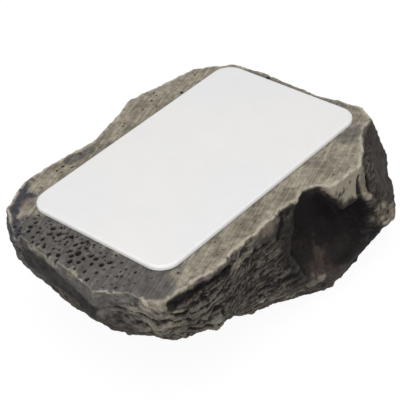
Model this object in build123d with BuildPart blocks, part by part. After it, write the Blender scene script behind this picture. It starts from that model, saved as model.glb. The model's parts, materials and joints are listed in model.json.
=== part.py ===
from build123d import *

import os
from math import hypot, sin

# A rock-shaped box for a spare key: a cast resin rock with a tray in its flat underside, and a
# cover that swivels over the tray. It lies on its dome here, flat face and cover uppermost.
#
# Millimetres, +Z up. The origin is on the floor under the middle of the whole rock. Depths are
# measured down from the flat face, and the rock's outline is seen from the cover's centre.

# ---- driving dimensions -----------------------------------------------------------------------
COVER_CENTRE = (3.63, 1.01)  # seen from the middle of the whole rock
ROCK_HEIGHT = 29.0  # from the floor to the flat face

COVER_LENGTH = 65.0
COVER_WIDTH = 39.0
COVER_THICKNESS = 1.0
COVER_CORNER_R = 4.5
COVER_EDGE_R = 0.6
COVER_LIFT = 0.15  # under the cover, so that it turns freely over the flat face

PIVOT_X = 22.5  # the pivot is 10 mm from the cover's end, on its centre line
BOSS_R = 2.5
BOSS_TIP_DEPTH = 3.78
PILOT_R = 1.05
PILOT_TOP_DEPTH = 0.4

TRAY_LENGTH = 57.4
TRAY_WIDTH = 31.4
TRAY_DEPTH = 13.0
TRAY_CORNER_R = 3.5
TRAY_WALL = 1.2
TRAY_DRAFT = 1.5  # degrees, on every wall of the tray and of its pocket
FLANGE_LENGTH = 61.0
FLANGE_WIDTH = 35.0
FLANGE_THICKNESS = 1.2
FLANGE_CORNER_R = 4.0

POST_R = 4.2
POST_BRIDGE_WIDTH = 3.0  # ties the post to the tray's end wall
BOSS_BORE_R = 2.55
WEB_TOP_DEPTH = 3.8
WEB_BOTTOM_DEPTH = 5.8
SHANK_HOLE_R = 1.45
HEAD_BORE_R = 3.1

WASHER_R = 2.8
WASHER_HOLE_R = 1.4
WASHER_THICKNESS = 0.3
WASHER_CONE = 0.2
RUNNING_GAP = 0.02
SCREW_HEAD_R = 2.5
SCREW_HEAD_HEIGHT = 1.7
SCREW_TIP_DEPTH = 1.2
SCREW_ROOT_R = 0.95
SCREW_THREAD_R = 1.25
SCREW_PITCH = 0.9
RECESS_LENGTH = 2.6
RECESS_WIDTH = 0.6
RECESS_DEPTH = 1.0

POCKET_GAP = 0.5  # round the tray's walls
REBATE_GAP = 0.35  # round the tray's flange
RIM_GLUE = 0.3
FLOOR_GLUE = 0.6
FLOOR_GLUE_LENGTH = 36.0
FLOOR_GLUE_WIDTH = 20.0
FLOOR_GLUE_X = -4.0  # its middle, clear of the pivot's post
GLUE_LINE = 3.0

# ---- the rock's shape -------------------------------------------------------------------------
CORE = (0.0, -2.0)  # the flank leans out and in along lines from here
LEVELS = (2.4, 4.6, 7.2, 9.6, 13.0, 16.0, 19.0, 21.5, 24.5, 29.0)  # depths of the flank's sections
FALL_POWER = 1.3  # over 1, the flank curves under like a dome
LEDGE = 0.45  # how far one stratum stands out past the next
CRAG = 1.1  # how far the roughest of the flank stands in and out of its own line
CRAG_TURNS = ((2.3, 1.7), (1.1, -2.6))  # radians to the next station, and to the next level
# Each station is a corner of the flat face, seen from the cover's centre, and what the flank does
# under it: it stands out by flare at the depth sheer, then falls in by inset at the floor.
# strata is 1 where the broken layers of the stone show, and 0 where the flank is smooth. crag is
# the share of CRAG that the flank has there.
#    x,     y,   flare, sheer, inset, strata, crag
STATIONS = (
    (34.6, -8.0, 1.4, 9.0, 13.0, 0, 0.7),
    (34.4, 1.0, 1.8, 8.0, 16.0, 0, 0.7),
    (35.2, 10.0, 0.8, 7.0, 19.0, 0, 0.8),
    (34.4, 19.0, 0.2, 6.0, 24.0, 0, 0.8),
    (27.5, 25.4, 0.8, 8.0, 21.0, 1, 0.9),
    (17.5, 27.9, 1.0, 9.0, 18.0, 1, 0.9),
    (9.0, 29.6, 0.2, 5.0, 18.0, 1, 0.0),
    (3.5, 27.2, 0.8, 8.0, 15.0, 1, 1),
    (-7.6, 25.0, 1.4, 9.0, 15.0, 0, 1),
    (-17.4, 26.2, 0.8, 7.0, 20.0, 0, 1),
    (-26.7, 26.9, 0.2, 5.0, 26.0, 0, 0.9),
    (-35.2, 23.2, 0.2, 6.0, 30.0, 0, 0.8),
    (-40.4, 16.0, 0.1, 7.0, 26.0, 0, 0.5),
    (-40.6, 6.0, 0.4, 10.5, 21.0, 0, 0.35),
    (-42.0, -3.0, 0.4, 9.0, 17.0, 0, 0.35),
    (-43.5, -11.0, 0.3, 7.5, 21.0, 1, 0.0),
    (-40.0, -17.0, 0.8, 7.5, 23.0, 1, 0.35),
    (-38.8, -24.0, 0.2, 7.5, 28.0, 1, 0.4),
    (-30.0, -25.3, 0.8, 10.5, 22.0, 1, 0.5),
    (-22.0, -26.0, 0.8, 13.0, 18.0, 1, 0.6),
    (-13.0, -25.0, 0.4, 18.0, 10.0, 1, 0.5),
    (-4.0, -25.3, 1.6, 19.5, 5.6, 0, 0.4),
    (4.0, -26.0, 3.6, 20.5, 1.5, 0, 0.3),
    (9.7, -29.3, 1.6, 21.5, 1.5, 0, 0.3),
    (18.2, -30.0, 1.2, 19.0, 4.0, 0, 0.3),
    (23.0, -27.0, 7.0, 19.0, 5.0, 0, 0.0),
    (28.4, -22.8, 7.0, 17.0, 6.0, 0, 0.3),
    (33.6, -21.6, 4.2, 14.0, 10.0, 0, 0.0),
    (36.0, -17.4, 1.2, 12.0, 12.0, 0, 0.0),
)
# The hollows in the long flank: a narrow arch that bites into the rim, a wider cave under it, a
# cleft beside the cave that leaves a spur over it, a groove under the rim by the corner, and two
# furrows lower down. Each is a list of (depth, outline) pairs.
ARCH = (
    (-1.0, ((-2.6, -33), (0.6, -26.4), (4.0, -25.6), (7.6, -27.6), (8.4, -33))),
    (8.2, ((-5.0, -33), (-0.5, -24.6), (4.5, -21.2), (10.0, -22.0), (12.0, -33))),
)
CAVE = (
    (7.2, ((-4.6, -34), (-0.4, -24.4), (6.0, -20.8), (14.6, -22.6), (17.6, -34))),
    (12.0, ((-6.6, -34), (-1.6, -24.2), (6.6, -20.6), (16.4, -22.2), (22.0, -34))),
    (21.5, ((-5.0, -36), (0.0, -29.0), (7.0, -28.2), (15.4, -29.2), (20.0, -36))),
)
CLEFT = (
    (20.4, ((20.5, -36), (23.4, -30.0), (27.6, -29.6), (33.0, -32))),
    (25.5, ((17.5, -37), (21.8, -29.2), (27.4, -27.8), (34.0, -29))),
)
RIM_GROOVE = (
    (0.7, ((-41.0, -28), (-37.6, -26.2), (-30.0, -26.4), (-21.0, -26.8), (-18.0, -28))),
    (2.4, ((-41.0, -28), (-37.0, -24.2), (-30.0, -24.2), (-22.0, -25.0), (-18.0, -28))),
    (4.2, ((-41.0, -28), (-37.6, -26.4), (-30.0, -26.6), (-21.0, -27.2), (-18.0, -28))),
)
UPPER_FURROW = (
    (4.8, ((-29.0, -29), (-25.0, -27.6), (-16.0, -27.2), (-9.0, -27.0), (-6.0, -29))),
    (6.2, ((-29.0, -29), (-25.0, -25.9), (-16.0, -24.9), (-9.0, -24.9), (-6.0, -29))),
    (7.8, ((-29.0, -29), (-25.0, -27.6), (-16.0, -27.2), (-9.0, -27.2), (-6.0, -29))),
)
LOWER_FURROW = (
    (11.0, ((-27.0, -29), (-23.0, -27.8), (-15.0, -27.2), (-8.0, -27.4), (-5.0, -29))),
    (12.8, ((-27.0, -29), (-23.0, -25.6), (-15.0, -24.8), (-8.0, -25.2), (-5.0, -29))),
    (14.8, ((-27.0, -29), (-23.0, -27.6), (-15.0, -27.2), (-8.0, -27.6), (-5.0, -29))),
)
# Round bumps: one at the cave's corner, and one low on the long flank.
#    (x, y, depth), radius
KNUCKLES = (((18.2, -30.9, 7.9), 1.1), ((-26.6, -25.6, 12.3), 2.0))

# Pores in the face beyond the cover's free end, in staggered rows.
PORE_ROWS = 13
PORE_COLUMNS = 4
PORE_FIRST = (-34.6, -14.2)
PORE_PITCH = (1.9, 2.35)
PORE_WANDER = 0.55
PORE_R = (0.3, 0.62)  # smallest and largest
PORE_SINK = 0.35  # a pore's ball is centred this share of its radius under the face


def plane_at(depth, x=0.0, y=0.0):
    """A level plane at a depth under the flat face, with its origin x, y from the cover's centre."""
    return Plane((COVER_CENTRE[0] + x, COVER_CENTRE[1] + y, ROCK_HEIGHT - depth))


def point_at(place):
    """The point at a place given as x, y from the cover's centre and a depth."""
    x, y, depth = place
    return Vector(COVER_CENTRE[0] + x, COVER_CENTRE[1] + y, ROCK_HEIGHT - depth)


def flank_offset(depth, flare, sheer, inset):
    """How far the flank stands out past the rim at a depth."""
    if depth <= sheer:
        return flare * depth / sheer
    return flare - (flare + inset) * ((depth - sheer) / (ROCK_HEIGHT - sheer)) ** FALL_POWER


def roughness(station, level):
    """How far a corner of the flank stands in or out of its own line, from -1 to 1."""
    waves = [sin(around * station + down * level) for around, down in CRAG_TURNS]
    return sum(waves) / len(waves)


def rock_section(level):
    """The rock's outline at one of the LEVELS, or the flat face's own outline where level is -1."""
    outline = []
    for station, (x, y, flare, sheer, inset, strata, crag) in enumerate(STATIONS):
        offset = 0.0
        if level >= 0:
            ledge = LEDGE * strata * (-1) ** level
            crag *= CRAG * roughness(station, level)
            offset = flank_offset(LEVELS[level], flare, sheer, inset) + ledge + crag
        grow = 1 + offset / hypot(x - CORE[0], y - CORE[1])
        outline.append((CORE[0] + (x - CORE[0]) * grow, CORE[1] + (y - CORE[1]) * grow))
    return outline


def pores():
    """Each pore's x, y and radius."""
    for row in range(PORE_ROWS):
        for column in range(PORE_COLUMNS):
            turn = 2.4 * row + 1.7 * column
            x = PORE_FIRST[0] - PORE_PITCH[0] * (column + 0.5 * (row % 2)) + PORE_WANDER * sin(3 * turn)
            y = PORE_FIRST[1] + PORE_PITCH[1] * row + PORE_WANDER * sin(5 * turn + 1)
            share = 0.5 + 0.5 * sin(7 * turn)
            yield x, y, PORE_R[0] + (PORE_R[1] - PORE_R[0]) * share


# ---- the rock ---------------------------------------------------------------------------------
with BuildPart() as rock_casting:
    for level, depth in enumerate((0.0, *LEVELS), start=-1):
        with BuildSketch(plane_at(depth)):
            with BuildLine():
                Polyline(*rock_section(level), close=True)
            make_face()
    loft(ruled=True)
    for hollow in (ARCH, CAVE, CLEFT, RIM_GROOVE, UPPER_FURROW, LOWER_FURROW):
        for depth, outline in hollow:
            with BuildSketch(plane_at(depth)):
                with BuildLine():
                    Polyline(*outline, close=True)
                make_face()
        loft(ruled=True, mode=Mode.SUBTRACT)
    for place, radius in KNUCKLES:
        with Locations(point_at(place)):
            Sphere(radius)
    with BuildSketch(plane_at(0)):
        RectangleRounded(
            FLANGE_LENGTH + 2 * REBATE_GAP, FLANGE_WIDTH + 2 * REBATE_GAP, FLANGE_CORNER_R + REBATE_GAP
        )
    extrude(amount=-(FLANGE_THICKNESS + RIM_GLUE), mode=Mode.SUBTRACT)
    with BuildSketch(plane_at(0)):
        RectangleRounded(TRAY_LENGTH + 2 * POCKET_GAP, TRAY_WIDTH + 2 * POCKET_GAP, TRAY_CORNER_R)
    extrude(amount=-(TRAY_DEPTH + FLOOR_GLUE), taper=TRAY_DRAFT, mode=Mode.SUBTRACT)
    for x, y, radius in pores():
        with Locations(point_at((x, y, PORE_SINK * radius))):
            Sphere(radius, mode=Mode.SUBTRACT)

# ---- the tray for the key ---------------------------------------------------------------------
with BuildPart() as key_tray:
    with BuildSketch(plane_at(0)):
        RectangleRounded(FLANGE_LENGTH, FLANGE_WIDTH, FLANGE_CORNER_R)
    extrude(amount=-FLANGE_THICKNESS)
    with BuildSketch(plane_at(0)):
        RectangleRounded(TRAY_LENGTH, TRAY_WIDTH, TRAY_CORNER_R)
    extrude(amount=-TRAY_DEPTH, taper=TRAY_DRAFT)
    with BuildSketch(plane_at(0)):
        RectangleRounded(
            TRAY_LENGTH - 2 * TRAY_WALL, TRAY_WIDTH - 2 * TRAY_WALL, TRAY_CORNER_R - TRAY_WALL
        )
    extrude(amount=-(TRAY_DEPTH - TRAY_WALL), taper=TRAY_DRAFT, mode=Mode.SUBTRACT)
    with BuildSketch(plane_at(0, PIVOT_X)):
        Circle(POST_R)
        Rectangle(
            TRAY_LENGTH / 2 - TRAY_WALL - PIVOT_X, POST_BRIDGE_WIDTH, align=(Align.MIN, Align.CENTER)
        )
    extrude(amount=-TRAY_DEPTH)
    with BuildSketch(plane_at(0, PIVOT_X)):
        Circle(BOSS_BORE_R)
    extrude(amount=-WEB_TOP_DEPTH, mode=Mode.SUBTRACT)
    with BuildSketch(plane_at(TRAY_DEPTH, PIVOT_X)):
        Circle(HEAD_BORE_R)
    extrude(amount=TRAY_DEPTH - WEB_BOTTOM_DEPTH, mode=Mode.SUBTRACT)
    with BuildSketch(plane_at(WEB_BOTTOM_DEPTH, PIVOT_X)):
        Circle(SHANK_HOLE_R)
    extrude(amount=WEB_BOTTOM_DEPTH - WEB_TOP_DEPTH, mode=Mode.SUBTRACT)

# ---- the glue that holds the tray in the rock -------------------------------------------------
with BuildPart() as floor_glue_bead:
    with BuildSketch(plane_at(TRAY_DEPTH + FLOOR_GLUE, FLOOR_GLUE_X)):
        RectangleRounded(FLOOR_GLUE_LENGTH, FLOOR_GLUE_WIDTH, GLUE_LINE)
        RectangleRounded(
            FLOOR_GLUE_LENGTH - 2 * GLUE_LINE,
            FLOOR_GLUE_WIDTH - 2 * GLUE_LINE,
            GLUE_LINE / 2,
            mode=Mode.SUBTRACT,
        )
    extrude(amount=FLOOR_GLUE)

with BuildPart() as rim_glue_bead:
    with BuildSketch(plane_at(FLANGE_THICKNESS + RIM_GLUE)):
        RectangleRounded(FLANGE_LENGTH, FLANGE_WIDTH, FLANGE_CORNER_R)
        RectangleRounded(
            TRAY_LENGTH + 2 * POCKET_GAP, TRAY_WIDTH + 2 * POCKET_GAP, TRAY_CORNER_R, mode=Mode.SUBTRACT
        )
    extrude(amount=RIM_GLUE)

# ---- the swivel cover -------------------------------------------------------------------------
with BuildPart() as swivel_cover:
    with BuildSketch(plane_at(-COVER_LIFT)):
        RectangleRounded(COVER_LENGTH, COVER_WIDTH, COVER_CORNER_R)
    extrude(amount=COVER_THICKNESS)
    fillet(swivel_cover.edges().group_by(Axis.Z)[-1], COVER_EDGE_R)
    with BuildSketch(plane_at(-COVER_LIFT, PIVOT_X)):
        Circle(BOSS_R)
    extrude(amount=-(BOSS_TIP_DEPTH + COVER_LIFT))
    with BuildSketch(plane_at(BOSS_TIP_DEPTH, PIVOT_X)):
        Circle(PILOT_R)
    extrude(amount=BOSS_TIP_DEPTH - PILOT_TOP_DEPTH, mode=Mode.SUBTRACT)

# ---- the pivot's screw and its spring washer --------------------------------------------------
WASHER_TOP_DEPTH = WEB_BOTTOM_DEPTH + RUNNING_GAP
HEAD_TOP_DEPTH = WASHER_TOP_DEPTH + WASHER_CONE + WASHER_THICKNESS

with BuildPart() as spring_washer:
    with BuildSketch(Plane.XZ.offset(-COVER_CENTRE[1])):
        with BuildLine():
            centre = COVER_CENTRE[0] + PIVOT_X
            top = ROCK_HEIGHT - WASHER_TOP_DEPTH
            Polyline(
                (centre + WASHER_HOLE_R, top - WASHER_CONE),
                (centre + WASHER_R, top),
                (centre + WASHER_R, top - WASHER_THICKNESS),
                (centre + WASHER_HOLE_R, top - WASHER_CONE - WASHER_THICKNESS),
                close=True,
            )
        make_face()
    revolve(axis=Axis((centre, COVER_CENTRE[1], 0), (0, 0, 1)))

with BuildPart() as pivot_screw:
    with BuildSketch(plane_at(HEAD_TOP_DEPTH, PIVOT_X)):
        Circle(SCREW_HEAD_R)
    extrude(amount=-SCREW_HEAD_HEIGHT)
    fillet(pivot_screw.edges().group_by(Axis.Z)[0], SCREW_HEAD_HEIGHT / 2)
    with BuildSketch(plane_at(HEAD_TOP_DEPTH, PIVOT_X)):
        Circle(SCREW_ROOT_R)
    extrude(amount=HEAD_TOP_DEPTH - SCREW_TIP_DEPTH)
    thread_length = BOSS_TIP_DEPTH - SCREW_TIP_DEPTH
    for turn in range(int(thread_length / SCREW_PITCH)):
        crest = BOSS_TIP_DEPTH - SCREW_PITCH * (turn + 0.5)
        with Locations(point_at((PIVOT_X, 0, crest - SCREW_PITCH / 4))):
            Cone(SCREW_THREAD_R, SCREW_ROOT_R, SCREW_PITCH / 2)
    with BuildSketch(plane_at(HEAD_TOP_DEPTH + SCREW_HEAD_HEIGHT, PIVOT_X)):
        Rectangle(RECESS_LENGTH, RECESS_WIDTH)
        Rectangle(RECESS_WIDTH, RECESS_LENGTH)
    extrude(amount=RECESS_DEPTH, mode=Mode.SUBTRACT)

# ---- export -----------------------------------------------------------------------------------
os.makedirs("parts", exist_ok=True)
for name, piece in (
    ("rock_casting", rock_casting),
    ("key_tray", key_tray),
    ("floor_glue_bead", floor_glue_bead),
    ("rim_glue_bead", rim_glue_bead),
    ("swivel_cover", swivel_cover),
    ("spring_washer", spring_washer),
    ("pivot_screw", pivot_screw),
):
    piece.part.label = name
    export_step(piece.part, f"parts/{name}.step")
    print(name, piece.part.is_valid, round(piece.part.volume, 1), len(piece.part.solids()))
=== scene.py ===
"""Hide-a-key rock: a cast stone with a key tray in its flat underside and a swivel cover over it.

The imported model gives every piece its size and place. This script carves the cast stone out of
the solid that stands for it, finishes the moulded, sprung and glued pieces, and lights them in a
studio. Places on the rock are given as on its drawing: x and y from the cover's centre and a
depth under the flat face, in millimetres.
"""

import json
import logging
import math
from dataclasses import dataclass, field
from enum import Enum, IntEnum
from itertools import product

import bmesh
import bpy
import numpy as np
from mathutils import Matrix, Vector

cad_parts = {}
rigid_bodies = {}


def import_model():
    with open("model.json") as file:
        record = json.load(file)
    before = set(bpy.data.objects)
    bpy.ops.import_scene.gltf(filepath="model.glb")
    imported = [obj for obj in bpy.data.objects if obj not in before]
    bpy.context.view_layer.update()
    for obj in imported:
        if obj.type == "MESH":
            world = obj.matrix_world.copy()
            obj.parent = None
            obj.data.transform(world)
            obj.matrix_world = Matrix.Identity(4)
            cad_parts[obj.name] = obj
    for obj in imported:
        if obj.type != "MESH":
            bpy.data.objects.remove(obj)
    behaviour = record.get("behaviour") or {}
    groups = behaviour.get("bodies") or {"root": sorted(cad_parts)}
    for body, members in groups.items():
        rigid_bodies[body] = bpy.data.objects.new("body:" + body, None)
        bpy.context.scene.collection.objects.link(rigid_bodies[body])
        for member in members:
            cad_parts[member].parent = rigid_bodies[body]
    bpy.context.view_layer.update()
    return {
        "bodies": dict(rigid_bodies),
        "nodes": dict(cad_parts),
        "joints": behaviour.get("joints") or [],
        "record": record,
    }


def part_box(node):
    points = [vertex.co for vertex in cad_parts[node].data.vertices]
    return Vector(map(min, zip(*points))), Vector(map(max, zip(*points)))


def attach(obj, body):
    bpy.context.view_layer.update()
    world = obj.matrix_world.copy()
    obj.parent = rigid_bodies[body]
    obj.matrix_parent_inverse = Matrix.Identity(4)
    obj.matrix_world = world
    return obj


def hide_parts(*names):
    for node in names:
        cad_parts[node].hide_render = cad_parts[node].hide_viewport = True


MM = 0.001
UPTURN = np.array([1, 1, -1])  # turns heights into depths and back
LOG = logging.getLogger("key_rock")

Socket = bpy.types.NodeSocket
Array = np.ndarray
Pair = tuple[float, float]
Place = tuple[float, float, float]
Colour = tuple[float, float, float, float]


class Paint(Enum):
    """The washes, stains and painted shade on the cast stone. Each is the name of a mesh attribute.
    """

    CHARCOAL = "charcoal_wash"
    SLATE = "slate_wash"
    ROSE = "rose_stain"
    UMBER = "umber_stain"
    # painted shade in the recesses, with a dark wash over the +X end
    SHADE_AND_DARK_WASH = "soot_wash"
    KHAKI = "khaki_brush"


class Seed(IntEnum):
    """What sets each noise on the cast stone apart from the others."""

    SCATTER = 5
    LUMPS = 11
    CRESTS = 12
    GRIT = 13
    HOLES = 14
    BED_DRIFT = 15
    BED_THICKNESS = 16
    BED_EDGE = 17
    PATCHES = 18
    CHIPS = 19
    SWAY_X = 21
    SWAY_Y = 22
    BRUSH = 31
    WEAR_AND_HIGHLIGHT = 32
    RIM_DOTS = 33
    COARSE_EDGE = 41
    FINE_EDGE = 42


# ---- colours and small tools ---------------------------------------------------------------


def srgb(red: float, green: float, blue: float) -> Colour:
    """Turn a colour as the eye sees it, 0 to 255, into the linear one that shaders use.

    Args:
        red: The red part.
        green: The green part.
        blue: The blue part.

    Returns:
        The linear colour with an alpha of 1.
    """
    linear = [
        part / 12.92 if part <= 0.04045 else ((part + 0.055) / 1.055) ** 2.4
        for part in (red / 255, green / 255, blue / 255)
    ]
    return (*linear, 1.0)


def smoothstep(values: Array, low: float, high: float) -> Array:
    """Ease values from 0 at low to 1 at high.

    Args:
        values: What to ease.
        low: Where the result leaves 0.
        high: Where the result reaches 1.

    Returns:
        The eased values.
    """
    share = np.clip((values - low) / (high - low), 0.0, 1.0)
    return share * share * (3 - 2 * share)


class Grain:
    """Seeded noise over points in millimetres."""

    PRIMES = np.array([73856093, 19349663, 83492791], dtype=np.int64)
    TURN = np.array([[0.80, 0.36, -0.48], [-0.60, 0.48, -0.64], [0.0, 0.80, 0.60]])

    def __init__(self, seed: int) -> None:
        """Keep the seed that sets this grain apart from others.

        Args:
            seed: Any whole number.
        """
        self.seed = seed

    def _hash(self, cells: Array, salt: int = 0) -> Array:
        """Give each cell its own value.

        Args:
            cells: Whole numbers, an array of N by 3.
            salt: Sets several values of one cell apart.

        Returns:
            N values from -1 to 1.
        """
        mixed = (cells * self.PRIMES).sum(axis=1) + (self.seed * 7919 + salt * 104729)
        mixed = (mixed ^ (mixed >> 13)) * 1274126177
        mixed = (mixed ^ (mixed >> 16)) * 2246822519
        return ((mixed >> 7) & 0xFFFF) / 32767.5 - 1

    def smooth(self, points: Array) -> Array:
        """Noise from -1 to 1 with features one unit across.

        Args:
            points: An array of N by 3.

        Returns:
            N values.
        """
        cells = np.floor(points).astype(np.int64)
        part = points - cells
        ease = part * part * part * (part * (6 * part - 15) + 10)
        total = np.zeros(len(points))
        for corner in product((0, 1), repeat=3):
            weight = np.prod(np.where(np.array(corner), ease, 1 - ease), axis=1)
            total += weight * self._hash(cells + np.array(corner))
        return total

    def fractal(self, points: Array, size: float, octaves: int, ridged: bool = False) -> Array:
        """Several layers of noise, each about half as large and strong as the last.

        Args:
            points: An array of N by 3, in millimetres.
            size: How far apart the largest features are.
            octaves: How many layers.
            ridged: Whether the layers have sharp crests in place of round ones.

        Returns:
            N values of about -1 to 1.
        """
        total = np.zeros(len(points))
        weight, reach = 1.0, 0.0
        here = points / size
        for _ in range(octaves):
            layer = self.smooth(here)
            total += weight * (1 - 2 * np.abs(layer) if ridged else layer)
            reach += weight
            weight *= 0.5
            here = here @ self.TURN.T * 2.03 + 11.7
        return total / reach * 1.5

    def cells(self, points: Array, size: float) -> tuple[Array, Array]:
        """Scattered seeds, one in each cell of a lattice.

        Args:
            points: An array of N by 3, in millimetres.
            size: How far apart the seeds are.

        Returns:
            Each point's distance to the nearest seed, in millimetres, and that seed's own value
            from 0 to 1.
        """
        here = points / size
        home = np.floor(here).astype(np.int64)
        nearest = np.full(len(points), 9.0)
        value = np.zeros(len(points))
        for step in product((-1, 0, 1), repeat=3):
            cell = home + np.array(step)
            jitter = np.stack([self._hash(cell, salt) for salt in (1, 2, 3)], axis=1)
            distance = np.linalg.norm(here - cell - 0.5 - 0.45 * jitter, axis=1)
            closer = distance < nearest
            nearest = np.where(closer, distance, nearest)
            value = np.where(closer, 0.5 + 0.5 * self._hash(cell, 4), value)
        return nearest * size, value


@dataclass(frozen=True)
class Layer:
    """One layer of noise: its height, the size of its features and how they are drawn out."""

    seed: Seed
    height: float
    size: float
    octaves: int
    squeeze: Place = (1.0, 1.0, 1.0)
    ridged: bool = False

    def at(self, places: Array) -> Array:
        """The layer's height at each point."""
        drawn = places * np.array(self.squeeze)
        return self.height * Grain(self.seed).fractal(drawn, self.size, self.octaves, self.ridged)


class Skin:
    """A mesh's points and edges as arrays, for shaping it and grading its surface."""

    def __init__(self, mesh: bpy.types.Mesh) -> None:
        """Read the mesh.

        Args:
            mesh: The mesh, which is written back by store.
        """
        self.mesh = mesh
        self.count = len(mesh.vertices)
        flat = np.empty(self.count * 3, np.float64)
        mesh.vertices.foreach_get("co", flat)
        self.points = flat.reshape(-1, 3)
        pairs = np.empty(len(mesh.edges) * 2, np.int64)
        mesh.edges.foreach_get("vertices", pairs)
        self.pairs = pairs.reshape(-1, 2)
        self.degree = np.maximum(np.bincount(pairs, minlength=self.count), 1)

    def normals(self) -> Array:
        """Read the directions away from the mesh as last stored.

        Returns:
            One for each point, an array of N by 3.
        """
        flat = np.empty(self.count * 3, np.float64)
        self.mesh.vertices.foreach_get("normal", flat)
        return flat.reshape(-1, 3)

    def store(self) -> None:
        """Write the points back into the mesh."""
        self.mesh.vertices.foreach_set("co", self.points.ravel())
        self.mesh.update()

    def spread(self, values: Array, times: int) -> Array:
        """Average values with their neighbours.

        Args:
            values: One value, or one row, for each point.
            times: How often.

        Returns:
            The averaged values.
        """
        first, second = self.pairs.T
        columns = values.reshape(self.count, -1).T.copy()
        for _ in range(times):
            for index, column in enumerate(columns):
                total = np.bincount(first, column[second], self.count)
                total += np.bincount(second, column[first], self.count)
                columns[index] = 0.5 * column + 0.5 * total / self.degree
        return columns.T.reshape(values.shape)

    def attribute(self, name: str, values: Array) -> None:
        """Keep one value for each point under a name that a shader can read."""
        layer = self.mesh.attributes.new(name, "FLOAT", "POINT")
        layer.data.foreach_set("value", values.astype(np.float32))


@dataclass(frozen=True)
class Drawing:
    """The rock's drawing datum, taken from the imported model."""

    centre: Vector

    @classmethod
    def from_frame(cls) -> "Drawing":
        """Read the datum: the cover's centre, at the height of the rock's flat face.

        Returns:
            The drawing.
        """
        low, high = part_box("swivel_cover")
        middle = (low + high) / 2
        return cls(Vector((middle.x, middle.y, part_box("rock_casting")[1].z)))

    def to_place(self, points: Array) -> Array:
        """Model points in metres as x, y and depth in millimetres."""
        return (points - np.array(self.centre)) / MM * UPTURN

    def to_model(self, places: Array) -> Array:
        """Places in millimetres as model points in metres."""
        return places * UPTURN * MM + np.array(self.centre)

    def point(self, x: float, y: float, depth: float = 0.0) -> Vector:
        """One place as a model point."""
        return self.centre + Vector((x, y, -depth)) * MM


class Graph:
    """A short way to write a material's nodes."""

    def __init__(self, name: str) -> None:
        """Start an empty material.

        Args:
            name: The material's name.
        """
        self.material = bpy.data.materials.new(name)
        self.material.use_nodes = True
        self.tree = self.material.node_tree
        self.tree.nodes.clear()
        self.output = self.tree.nodes.new("ShaderNodeOutputMaterial")

    def node(self, kind: str, inputs: dict | None = None, **settings: object) -> bpy.types.Node:
        """Add a node.

        Args:
            kind: The node's type name, without its ShaderNode prefix.
            inputs: Values or sockets for its inputs, by name or number.
            settings: The node's own properties.

        Returns:
            The node.
        """
        made = self.tree.nodes.new("ShaderNode" + kind)
        for key, value in settings.items():
            setattr(made, key, value)
        for key, value in (inputs or {}).items():
            self.feed(made.inputs[key], value)
        return made

    def feed(self, socket: Socket, value: object) -> None:
        """Link a socket into another, or set its value."""
        if isinstance(value, Socket):
            self.tree.links.new(value, socket)
        else:
            socket.default_value = value

    def places(self) -> Socket:
        """The surface point in millimetres."""
        where = self.node("TexCoord").outputs["Object"]
        return self.node("VectorMath", {0: where, 3: 1 / MM}, operation="SCALE").outputs[0]

    def mapped(self, where: Socket, squeeze: Place = (1.0, 1.0, 1.0), turn: float = 0.0) -> Socket:
        """Places squeezed along each axis and turned about Z by degrees."""
        inputs = {"Vector": where, "Scale": squeeze, "Rotation": (0, 0, math.radians(turn))}
        return self.node("Mapping", inputs).outputs[0]

    def math(self, operation: str, *values: object) -> Socket:
        """One arithmetic step."""
        return self.node("Math", dict(enumerate(values)), operation=operation).outputs[0]

    def times(self, first: object, second: object) -> Socket:
        """Two values multiplied."""
        return self.math("MULTIPLY", first, second)

    def scaled(self, value: Socket, gain: float, base: object) -> Socket:
        """A value times a gain, on top of a base."""
        return self.math("MULTIPLY_ADD", value, gain, base)

    def ramp(self, value: Socket, low: float, high: float) -> Socket:
        """Ease a value from 0 at low to 1 at high."""
        inputs = {0: value, 1: low, 2: high}
        return self.node("MapRange", inputs, interpolation_type="SMOOTHSTEP").outputs[0]

    def noise(self, where: Socket, size: float, detail: float = 3.0, rough: float = 0.55) -> Socket:
        """Noise from 0 to 1 with features of a size in millimetres."""
        inputs = {"Vector": where, "Scale": 1 / size, "Detail": detail, "Roughness": rough}
        return self.node("TexNoise", inputs).outputs["Fac"]

    def mix(self, share: object, under: object, over: object, blend: str = "MIX") -> Socket:
        """Lay one colour over another.

        Args:
            share: How much the second colour covers, 0 to 1.
            under: The first colour.
            over: The second colour.
            blend: How the second one acts on the first.

        Returns:
            The mixed colour.
        """
        made = self.node("Mix", data_type="RGBA", blend_type=blend, clamp_factor=True)
        for index, value in ((0, share), (6, under), (7, over)):
            self.feed(made.inputs[index], value)
        return made.outputs[2]

    def tone(self, colour: Socket, share: object, value: Socket) -> Socket:
        """Darken or lighten a share of a colour by a value about 1."""
        grey = self.node("CombineColor", {0: value, 1: value, 2: value}).outputs[0]
        return self.mix(share, colour, grey, "MULTIPLY")

    def attribute(self, name: str) -> Socket:
        """A value kept on the mesh."""
        return self.node("Attribute", attribute_name=name).outputs["Fac"]

    def bump(self, height: Socket, depth_mm: float, under: Socket | None = None) -> Socket:
        """Raise a surface.

        Args:
            height: From 0 to 1.
            depth_mm: How far 1 stands above 0.
            under: Another bump that this one lies over.

        Returns:
            The surface's direction.
        """
        inputs = {"Strength": 1.0, "Distance": depth_mm * MM, "Height": height}
        if under is not None:
            inputs["Normal"] = under
        return self.node("Bump", inputs).outputs[0]

    def shade(self, **inputs: object) -> bpy.types.Material:
        """Finish the material with one principled shader.

        Args:
            inputs: Values or sockets, by the shader's input names with spaces as underscores.

        Returns:
            The material.
        """
        shader = self.node("BsdfPrincipled")
        for key, value in inputs.items():
            self.feed(shader.inputs[key.replace("_", " ")], value)
        self.tree.links.new(shader.outputs[0], self.output.inputs["Surface"])
        return self.material


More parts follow.
